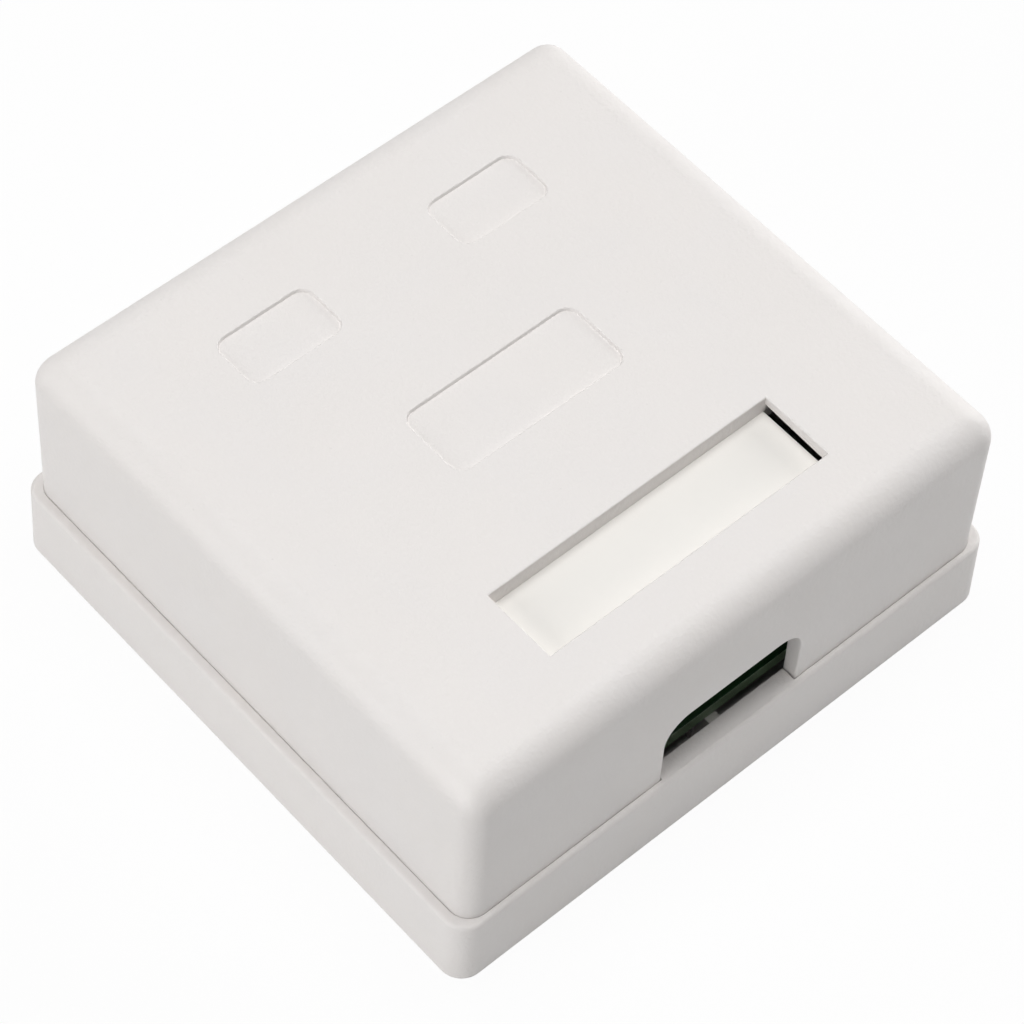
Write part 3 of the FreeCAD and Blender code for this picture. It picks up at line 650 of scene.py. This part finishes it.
def spin_profile(form: bmesh.types.BMesh, foot: Vector, profile: Sequence[Point], steps: int) -> None:
    """Turns an outline about an upright axis.

    Args:
        form: form that the round body is added to.
        foot: point on the axis.
        profile: distances from the axis and heights above the foot.
        steps: corners round the body.
    """
    verts = [form.verts.new(foot + Vector((across, 0, up))) for across, up in profile]
    edges = [form.edges.new(pair) for pair in zip(verts, verts[1:])]
    bmesh.ops.spin(form, geom=verts + edges, cent=foot, axis=(0, 0, 1), dvec=(0, 0, 0),
                   angle=2 * math.pi, steps=steps, use_merge=True)


@dataclass(frozen=True)
class EjectorMarks:
    """Shallow rings that a mould's ejector pins leave inside a moulding."""

    radius: float = 1.9 * MM
    line: float = 0.22 * MM
    slant: float = 0.055 * MM
    height: float = 0.05 * MM
    sink: float = 0.02 * MM
    steps: int = 32

    def piece(self, name: str, places: Sequence[Vector], facing: Facing) -> bpy.types.Object:
        """Makes the marks of one moulding.

        Args:
            name: the piece's name.
            places: middles of the pins on the moulding's inner face.
            facing: where that face looks.

        Returns:
            The piece, in the scene.
        """
        form = bmesh.new()
        inner = self.radius - self.line
        low, high = -facing.value * self.sink, facing.value * self.height
        outline = [(inner, low), (self.radius, low), (self.radius - self.slant, high),
                   (inner + self.slant, high), (inner, low)]
        for place in places:
            spin_profile(form, place, outline, self.steps)
        close(form)
        return piece_from(form, name)


def spread(node: str, width: float, count: int) -> list[float]:
    """Middles along X of equal things that stand side by side in a node.

    Args:
        node: node of the frame that holds them all.
        width: width of one.
        count: how many there are.

    Returns:
        Their middles, from -X to +X.
    """
    low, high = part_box(node)
    pitch = (high.x - low.x - width) / (count - 1)
    return [low.x + width / 2 + pitch * index for index in range(count)]


# ---------------------------------------------------------------- sub-assemblies

@dataclass
class Tray:
    """Tray that is screwed to the wall."""

    finish: MouldedFinish
    edge_radius: float = 0.06 * MM
    floor: float = 1.8 * MM                             # above the wall
    marks: EjectorMarks = EjectorMarks()
    marks_x: float = 25.4 * MM
    marks_y: tuple[float, float] = (10.0 * MM, 24.5 * MM)

    def build(self) -> None:
        """Builds the tray and its ejector marks."""
        material = self.finish.material()
        fit_out(rounded_copy("base_tray", "tray", self.edge_radius), Body.BASE, Slot.TRAY, material,
                "base_tray")
        places = [Vector((side.value * self.marks_x, end * y, self.floor))
                  for side in Side for end in (-1, 1) for y in self.marks_y]
        fit_out(self.marks.piece("tray_ejector_marks", places, Facing.UP), Body.BASE, Slot.TRAY, material)


@dataclass
class Cover:
    """Clip-on cover with its label card."""

    finish: MouldedFinish
    card: CardFinish
    top_plate: float = 1.4 * MM
    edge_radius: float = 0.16 * MM
    seam_ease: Point = (0.085 * MM, 0.035 * MM)         # wider on each side, for a fine seam
    slot_chamfer: float = 0.40 * MM
    slot_reach: float = 0.32 * MM                       # card's end to the slot's edge, at most
    recess_area: tuple[Point, Point] = ((-18.5 * MM, -22.0 * MM), (18.5 * MM, 5.0 * MM))
    recess_radius: float = 0.08 * MM
    recess_steps: int = 3
    recess_lean: float = 0.11 * MM                      # top of a recess's wall behind its foot
    card_edge: float = 0.03 * MM
    card_ease: Point = (0.08 * MM, 0.08 * MM)           # wider on each side, to fill the window
    marks: EjectorMarks = EjectorMarks()
    marks_at: tuple[Point, ...] = ((-24, -21), (0, -20), (24, -21), (-24, 0), (0, 2), (24, 0),
                                   (-23, 21), (23, 21))     # millimetres

    def build(self) -> None:
        """Builds the cover, its ejector marks and the card."""
        material = self.finish.material()
        fit_out(self.shell(), Body.COVER, Slot.COVER, material, "cover")
        places = [Vector((x * MM, y * MM, self.ceiling)) for x, y in self.marks_at]
        fit_out(self.marks.piece("cover_ejector_marks", places, Facing.DOWN), Body.COVER, Slot.COVER,
                material)
        fit_out(self.cut_card(), Body.COVER, Slot.CARD, self.card.material(), "label_card")

    @property
    def ceiling(self) -> float:
        """Height of the top plate's underside."""
        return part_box("cover")[1].z - self.top_plate

    def shell(self) -> bpy.types.Object:
        """Copies the cover, made to fill the rim and with recesses that widen towards the top.

        Returns:
            The copy, in the scene.
        """
        form = copy_of("cover")
        grow(form, "cover", self.seam_ease)
        round_edges(form, self.slot_edges(form), self.slot_chamfer, 1)
        rims = self.recess_rims(form)
        others = [edge for edge in corner_edges(form) if edge not in rims]
        self.lean_walls(form, rims)
        round_edges(form, others, self.edge_radius)
        rims = [edge for edge in rims if edge.is_valid]
        round_edges(form, rims, self.recess_radius, self.recess_steps)
        return piece_from(form, "clip_cover")

    def slot_edges(self, form: bmesh.types.BMesh) -> list[bmesh.types.BMEdge]:
        """Finds the lower edge of the window's end wall, which the card is pushed under.

        Args:
            form: copy of the cover.

        Returns:
            The edge, alone in a list.
        """
        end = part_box("label_card")[0].x
        return [edge for edge in corner_edges(form)
                if all(abs(vert.co.x - end) < self.slot_reach and abs(vert.co.z - self.ceiling) < WELD
                       for vert in edge.verts)]

    def recess_rims(self, form: bmesh.types.BMesh) -> list[bmesh.types.BMEdge]:
        """Finds the upper edges of the three shallow recesses.

        Args:
            form: copy of the cover.

        Returns:
            The edges.
        """
        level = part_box("cover")[1].z - WELD
        low, high = self.recess_area
        return [edge for edge in corner_edges(form)
                if all(vert.co.z > level and low[0] < vert.co.x < high[0] and low[1] < vert.co.y < high[1]
                       for vert in edge.verts)]

    def lean_walls(self, form: bmesh.types.BMesh, rims: Sequence[bmesh.types.BMEdge]) -> None:
        """Leans the recesses' walls outwards by moving their upper edges.

        Args:
            form: copy of the cover.
            rims: the edges.
        """
        for vert in {vert for edge in rims for vert in edge.verts}:
            walls = [face.normal for face in vert.link_faces if face.normal.z < WALL_TILT]
            inward = sum(walls, Vector((0, 0, 0)))
            inward.z = 0
            vert.co -= inward.normalized() * self.recess_lean
        form.normal_update()

    def cut_card(self) -> bpy.types.Object:
        """Copies the card, made to fill the window right up to its walls.

        Returns:
            The copy, in the scene.
        """
        form = copy_of("label_card")
        grow(form, "label_card", self.card_ease)
        round_edges(form, corner_edges(form), self.card_edge)
        return piece_from(form, "card")


@dataclass
class Springs:
    """The eight spring contacts of one jack, as bent wire."""

    side: Side
    material: bpy.types.Material
    count: int = 8
    wire: float = 0.40 * MM
    row_gap: float = 2.5 * MM                           # between the two rows of pins
    rest_height: float = 2.3 * MM                       # above the board, where the wire runs forwards
    foot_bend: float = 0.30 * MM                        # both bends to the wire's middle line
    front_bend: float = 0.70 * MM
    arm: float = 11.0 * MM
    slope: float = math.radians(17)
    foot_steps: int = 4
    front_steps: int = 12
    edge_radius: float = 0.10 * MM

    @property
    def node(self) -> str:
        """Node of the frame that the contacts stand for."""
        return f"jack_contacts_{self.side.word}"

    def places(self) -> list[Point]:
        """Places the pins of the contacts, which stand in two rows in turn.

        Returns:
            X and Y of each pin.
        """
        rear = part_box(self.node)[1].y - self.wire / 2
        return [(x, rear - self.row_gap * (index % 2))
                for index, x in enumerate(spread(self.node, self.wire, self.count))]

    def build(self) -> None:
        """Builds the contacts."""
        form = bmesh.new()
        for x, y in self.places():
            self.bend_wire(form, x, y)
        close(form)
        round_edges(form, corner_edges(form), self.edge_radius)
        fit_out(piece_from(form, f"springs_{self.side.word}"), Body.BASE, Slot.SPRING, self.material,
                self.node)

    def bend_wire(self, form: bmesh.types.BMesh, x: float, y: float) -> None:
        """Bends one contact: up, forwards, round the front and back as a free arm.

        Args:
            form: form that the wire is added to.
            x: middle of the wire.
            y: middle of its pin.
        """
        low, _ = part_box(self.node)
        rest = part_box("circuit_board")[1].z + self.rest_height
        front = low.y + self.wire / 2 + self.front_bend
        made = bmesh.ops.create_grid(form, x_segments=1, y_segments=1, size=self.wire / 2)
        bmesh.ops.translate(form, verts=made["verts"], vec=(x, y, low.z))
        square = made["verts"][0].link_faces[0]
        end = list(square.edges)
        bmesh.ops.delete(form, geom=[square], context="FACES_ONLY")
        end = self.run(form, end, Vector((0, 0, rest - self.foot_bend - low.z)))
        end = self.turn(form, end, Vector((x, y - self.foot_bend, rest - self.foot_bend)),
                        math.pi / 2, self.foot_steps)
        end = self.run(form, end, Vector((0, front - y + self.foot_bend, 0)))
        end = self.turn(form, end, Vector((x, front, rest + self.front_bend)),
                        self.slope - math.pi, self.front_steps)
        self.run(form, end, Vector((0, math.cos(self.slope), math.sin(self.slope))) * self.arm)

    def run(self, form: bmesh.types.BMesh, end: list[bmesh.types.BMEdge],
            way: Vector) -> list[bmesh.types.BMEdge]:
        """Draws the wire straight on.

        Args:
            form: form that holds the wire.
            end: edges round its end.
            way: how far and where it goes.

        Returns:
            The edges round the new end.
        """
        drawn = bmesh.ops.extrude_edge_only(form, edges=end)["geom"]
        verts = {item for item in drawn if isinstance(item, bmesh.types.BMVert)}
        bmesh.ops.translate(form, verts=list(verts), vec=way)
        return [item for item in drawn
                if isinstance(item, bmesh.types.BMEdge) and verts.issuperset(item.verts)]

    def turn(self, form: bmesh.types.BMesh, end: list[bmesh.types.BMEdge], centre: Vector,
             angle: float, steps: int) -> list[bmesh.types.BMEdge]:
        """Bends the wire about an axis along X.

        Args:
            form: form that holds the wire.
            end: edges round its end.
            centre: point on the axis.
            angle: how far it turns.
            steps: straight pieces that the bend is made of.

        Returns:
            The edges round the new end.
        """
        spun = bmesh.ops.spin(form, geom=end, cent=centre, axis=(1, 0, 0), dvec=(0, 0, 0),
                              angle=angle, steps=steps)["geom_last"]
        return [item for item in spun if isinstance(item, bmesh.types.BMEdge)]


@dataclass
class Jack:
    """One modular jack: housing, insert and spring contacts."""

    side: Side
    housing: bpy.types.Material
    insert: bpy.types.Material
    springs: Springs
    housing_edge: float = 0.10 * MM
    insert_edge: float = 0.05 * MM

    def build(self) -> None:
        """Builds the jack."""
        word = self.side.word
        fit_out(rounded_copy(f"jack_housing_{word}", f"jack_{word}", self.housing_edge),
                Body.BASE, Slot.JACK, self.housing, f"jack_housing_{word}")
        fit_out(rounded_copy(f"jack_insert_{word}", f"insert_{word}", self.insert_edge),
                Body.BASE, Slot.INSERT, self.insert, f"jack_insert_{word}")
        self.springs.build()


@dataclass
class Terminals:
    """One block of punch-down terminals."""

    side: Side
    row: Row
    block: bpy.types.Material
    blades: bpy.types.Material
    count: int = 4
    blade_width: float = 2.6 * MM
    block_edge: float = 0.12 * MM
    blade_edge: float = 0.05 * MM

    @property
    def place(self) -> str:
        """End of the names of the two nodes."""
        return f"{self.side.word}_{self.row.value}"

    def pins(self) -> list[Point]:
        """Places the solder tails.

        Returns:
            X and Y of each tail.
        """
        node = f"terminal_contacts_{self.place}"
        low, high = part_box(node)
        return [(x, (low.y + high.y) / 2) for x in spread(node, self.blade_width, self.count)]

    def build(self) -> None:
        """Builds the block and its contacts."""
        fit_out(rounded_copy(f"terminal_block_{self.place}", f"block_{self.place}", self.block_edge),
                Body.BASE, Slot.TERMINAL, self.block, f"terminal_block_{self.place}")
        fit_out(rounded_copy(f"terminal_contacts_{self.place}", f"blades_{self.place}", self.blade_edge),
                Body.BASE, Slot.BLADE, self.blades, f"terminal_contacts_{self.place}")


@dataclass
class Board:
    """Circuit board with its tracks, printed outlines and solder joints."""

    finish: BoardFinish
    copper: bpy.types.Material
    ink: bpy.types.Material
    solder: bpy.types.Material
    springs: dict[Side, Springs]
    terminals: dict[tuple[Side, Row], Terminals]
    edge_radius: float = 0.05 * MM
    track_width: float = 0.38 * MM
    track_height: float = 0.03 * MM
    track_start: float = 1.2 * MM                       # straight run from the rearmost pins
    ink_width: float = 0.20 * MM
    ink_height: float = 0.05 * MM
    ink_gap: float = 0.45 * MM                          # line to the part that it goes round
    joint_steps: int = 16
    joint: tuple[Point, ...] = ((0.75, 0.02), (0.70, -0.05), (0.50, -0.16), (0.36, -0.40),
                                (0.29, -0.72), (0.0, -0.78))    # outline, millimetres

    def build(self) -> None:
        """Builds the board and everything on it."""
        fit_out(rounded_copy("circuit_board", "board", self.edge_radius), Body.BASE, Slot.BOARD,
                self.finish.material(), "circuit_board")
        fit_out(self.lay_tracks(), Body.BASE, Slot.BOARD, self.copper)
        fit_out(self.print_outlines(), Body.BASE, Slot.BOARD, self.ink)
        fit_out(self.solder_tails(), Body.BASE, Slot.BLADE, self.solder)

    @property
    def top(self) -> float:
        """Height of the board's upper face."""
        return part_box("circuit_board")[1].z

    def routes(self, side: Side) -> Iterator[list[Point]]:
        """Bends of the eight tracks of one port, from the jack's pins to the terminals.

        Args:
            side: the port.

        Yields:
            The points of each track. Those of the rear pins end at the front terminals. The
            others pass between these and end at the rear terminals.
        """
        starts = self.springs[side].places()
        front = self.terminals[side, Row.FRONT].pins()
        rear = self.terminals[side, Row.REAR].pins()
        lane = (front[1][0] - front[0][0]) / 2
        leave = max(y for _, y in starts) + self.track_start
        turn = (front[0][1] + rear[0][1]) / 2
        for index, (x, y) in enumerate(starts):
            goal, goal_y = front[index // 2]
            if index % 2:
                goal += lane
            route = [(x, y), (x, leave), (goal, leave + abs(goal - x))]
            if index % 2:
                route += [(goal, turn), (goal - lane, turn + lane), rear[index // 2]]
            else:
                route.append((goal, goal_y))
            yield route

    def lay_tracks(self) -> bpy.types.Object:
        """Lays the copper tracks, which stand out a little under the mask.

        Returns:
            The tracks as one piece, in the scene.
        """
        form = bmesh.new()
        for side in Side:
            for route in self.routes(side):
                self.lay_track(form, [Vector((x, y, self.top)) for x, y in route])
        thicken(form, self.track_height)
        return piece_from(form, "board_tracks")

    def lay_track(self, form: bmesh.types.BMesh, points: list[Vector]) -> None:
        """Lays one track along its points, with mitred bends.

        Args:
            form: form that the track is added to.
            points: its middle line.
        """
        ways = [(end - start).normalized() for start, end in zip(points, points[1:])]
        edge = None
        for point, before, after in zip(points, ways[:1] + ways, ways + ways[-1:]):
            across = Vector((0, 0, 1)).cross(before + after).normalized()
            reach = across * (self.track_width / 2 / math.cos(before.angle(after) / 2))
            if edge is None:
                edge = form.edges.new([form.verts.new(point - reach), form.verts.new(point + reach)])
                continue
            drawn = bmesh.ops.extrude_edge_only(form, edges=[edge])["geom"]
            left, right = sorted((item for item in drawn if isinstance(item, bmesh.types.BMVert)),
                                 key=lambda vert: vert.co.dot(across))
            left.co = point - reach
            right.co = point + reach
            edge = form.edges.get((left, right))

    def print_outlines(self) -> bpy.types.Object:
        """Prints the outlines of jacks and terminal blocks.

        Returns:
            The lines as one piece, in the scene.
        """
        form = bmesh.new()
        nodes = [f"jack_housing_{side.word}" for side in Side]
        nodes += [f"terminal_block_{side.word}_{row.value}" for side in Side for row in Row]
        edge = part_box("circuit_board")[0].y + self.ink_gap
        for node in nodes:
            low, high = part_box(node)
            self.print_frame(form, (low.x - self.ink_gap, max(low.y - self.ink_gap, edge)),
                             (high.x + self.ink_gap, high.y + self.ink_gap))
        thicken(form, self.ink_height)
        return piece_from(form, "board_print")

    def print_frame(self, form: bmesh.types.BMesh, low: Point, high: Point) -> None:
        """Prints one rectangular line.

        Args:
            form: form that the line is added to.
            low: its corner towards -X and -Y.
            high: its corner towards +X and +Y.
        """
        made = bmesh.ops.create_grid(form, x_segments=1, y_segments=1, size=0.5)["verts"]
        bmesh.ops.scale(form, verts=made, vec=(high[0] - low[0], high[1] - low[1], 1))
        bmesh.ops.translate(form, verts=made,
                            vec=((low[0] + high[0]) / 2, (low[1] + high[1]) / 2, self.top))
        inside = made[0].link_faces[0]
        bmesh.ops.inset_region(form, faces=[inside], thickness=self.ink_width, use_boundary=True,
                               use_even_offset=True)
        bmesh.ops.delete(form, geom=[inside], context="FACES")

    def solder_tails(self) -> bpy.types.Object:
        """Solders every tail under the board.

        Returns:
            The joints as one piece, in the scene.
        """
        form = bmesh.new()
        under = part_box("circuit_board")[0].z
        tails = [tail for springs in self.springs.values() for tail in springs.places()]
        tails += [tail for terminals in self.terminals.values() for tail in terminals.pins()]
        outline = [(across * MM, up * MM) for across, up in self.joint]
        for x, y in tails:
            spin_profile(form, Vector((x, y, under)), outline, self.joint_steps)
        close(form)
        return piece_from(form, "solder_joints")


# ---------------------------------------------------------------- studio

@dataclass(frozen=True)
class Lamp:
    """Square soft lamp that points at the middle of the box."""

    name: str
    place: Place
    power: float
    size: float = 0.50


@dataclass
class Studio:
    """Pale floor, soft lamps and the camera.

    The floor shows white by floor_white of its shade near the box, and wholly beyond the
    squared distances of floor_fade.
    """

    floor_colour: Colour = (0.86, 0.86, 0.86)
    floor_half: float = 3.0
    floor_cloud: float = 0.4
    floor_white: float = 0.93
    floor_fade: Point = (0.04, 0.6)
    sky: float = 0.05
    lamps: tuple[Lamp, ...] = (
        Lamp("overhead", (0.0, 0.0, 0.70), 3.30),
        Lamp("cable_side_left", (0.70, 0.0, 0.25), 2.40),
        Lamp("far_side", (-0.70, 0.0, 0.25), 2.85),
        Lamp("jack_side", (0.0, -0.60, 0.45), 0.40),
    )
    camera_place: Place = (0.1380135, 0.1384576, 0.2891658)
    camera_turn: Place = (34.768844, -2.477466, 138.501560)     # degrees
    camera_lens: float = 130.77
    camera_clip: Point = (0.01, 20.0)

    def build(self) -> None:
        """Sets up the whole studio."""
        self.lay_floor()
        self.light_sky()
        for lamp in self.lamps:
            self.hang_lamp(lamp)
        self.set_camera()
        bpy.context.scene.view_settings.view_transform = "Standard"
        log.info("studio: floor, sky, lamps and camera")

    def seen(self, graph: Graph) -> Signal:
        """Tells what the camera sees from what only lights the box.

        Args:
            graph: node tree that asks.

        Returns:
            1 for what is seen, also by reflection or through glass, and else 0.
        """
        rays = graph.node("ShaderNodeLightPath", output="Is Camera Ray")
        kinds = rays.socket.node.outputs
        glossy = Signal(graph, kinds["Is Glossy Ray"])
        return rays.largest(glossy).largest(Signal(graph, kinds["Is Transmission Ray"]))

    def lay_floor(self) -> None:
        """Large pale floor that shows white where no shadow falls."""
        form = bmesh.new()
        bmesh.ops.create_grid(form, x_segments=1, y_segments=1, size=self.floor_half)
        mesh = bpy.data.meshes.new("floor")
        form.to_mesh(mesh)
        form.free()
        floor = bpy.data.objects.new("floor", mesh)
        bpy.context.scene.collection.objects.link(floor)
        finish = Finish("pale_floor")
        soft = finish.noise(self.floor_cloud, 2.0)
        finish.surface(base_color=finish.tinted(self.floor_colour, 0.99 + 0.02 * soft), roughness=0.9)
        glow = finish.node("ShaderNodeEmission", values={"Color": (1, 1, 1), "Strength": 1.0})
        x, y, _ = finish.parts(finish.place())
        far = (x * x + y * y).step(*self.floor_fade)
        share = self.seen(finish) * (self.floor_white + (1 - self.floor_white) * far)
        mixed = finish.node("ShaderNodeMixShader", values={
            0: share, 1: Signal(finish, finish.shader.outputs[0]), 2: glow})
        finish.feed(finish.tree.nodes["Material Output"].inputs["Surface"], mixed)
        mesh.materials.append(finish.material)

    def light_sky(self) -> None:
        """Even sky light, seen as white."""
        world = bpy.data.worlds.new("sky")
        bpy.context.scene.world = world
        world.use_nodes = True
        graph = Graph(world.node_tree)
        strength = self.sky + (1 - self.sky) * self.seen(graph)
        background = graph.tree.nodes["Background"]
        graph.feed(background.inputs["Color"], (1, 1, 1))
        graph.feed(background.inputs["Strength"], strength)

    def hang_lamp(self, lamp: Lamp) -> None:
        """Hangs one lamp.

        Args:
            lamp: the lamp.
        """
        data = bpy.data.lights.new(lamp.name, "AREA")
        data.shape = "SQUARE"
        data.size = lamp.size
        data.energy = lamp.power
        thing = bpy.data.objects.new(lamp.name, data)
        thing.location = lamp.place
        thing.rotation_euler = (-Vector(lamp.place)).to_track_quat("-Z", "Y").to_euler()
        bpy.context.scene.collection.objects.link(thing)

    def set_camera(self) -> None:
        """Camera that looks down at the cable side and the +X side."""
        data = bpy.data.cameras.new("camera")
        data.lens = self.camera_lens
        data.clip_start, data.clip_end = self.camera_clip
        camera = bpy.data.objects.new("camera", data)
        camera.location = self.camera_place
        camera.rotation_euler = Euler([math.radians(angle) for angle in self.camera_turn])
        bpy.context.scene.collection.objects.link(camera)
        bpy.context.scene.camera = camera


# ---------------------------------------------------------------- whole box


def main() -> None:
    """Builds every sub-assembly and the studio."""
    logging.basicConfig(level=logging.INFO, format="%(name)s: %(message)s")
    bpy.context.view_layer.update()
    white = (0.800, 0.770, 0.750)
    housing = SatinFinish("jack_moulding", (0.78, 0.76, 0.73)).material()
    insert = SatinFinish("insert_moulding", (0.022, 0.022, 0.024), 0.40).material()
    block = SatinFinish("terminal_moulding", (0.78, 0.77, 0.75), 0.38).material()
    gold = MetalFinish("gold_plating", (0.90, 0.66, 0.28), (0.62, 0.42, 0.16)).material()
    tin = MetalFinish("tin_plating", (0.72, 0.71, 0.69), (0.45, 0.44, 0.42), 0.30).material()
    springs = {side: Springs(side, gold) for side in Side}
    terminals = {(side, row): Terminals(side, row, block, tin) for side in Side for row in Row}

    Tray(MouldedFinish("tray_moulding", white)).build()
    Cover(MouldedFinish("cover_moulding", white), CardFinish("card_stock", (0.86, 0.84, 0.805))).build()
    # The board's third colour is its bare edge colour made lighter, as a painted highlight.
    Board(BoardFinish("board_mask", (0.008, 0.060, 0.011), (0.52, 0.70, 0.48)),
          FilmFinish("masked_copper", (0.012, 0.075, 0.026), 0.28).material(),
          FilmFinish("white_print", (0.74, 0.74, 0.70), 0.60).material(),
          tin, springs, terminals).build()
    for side in Side:
        Jack(side, housing, insert, springs[side]).build()
    for four_way_block in terminals.values():
        four_way_block.build()
    Studio().build()


if __name__ == "__main__":
    main()
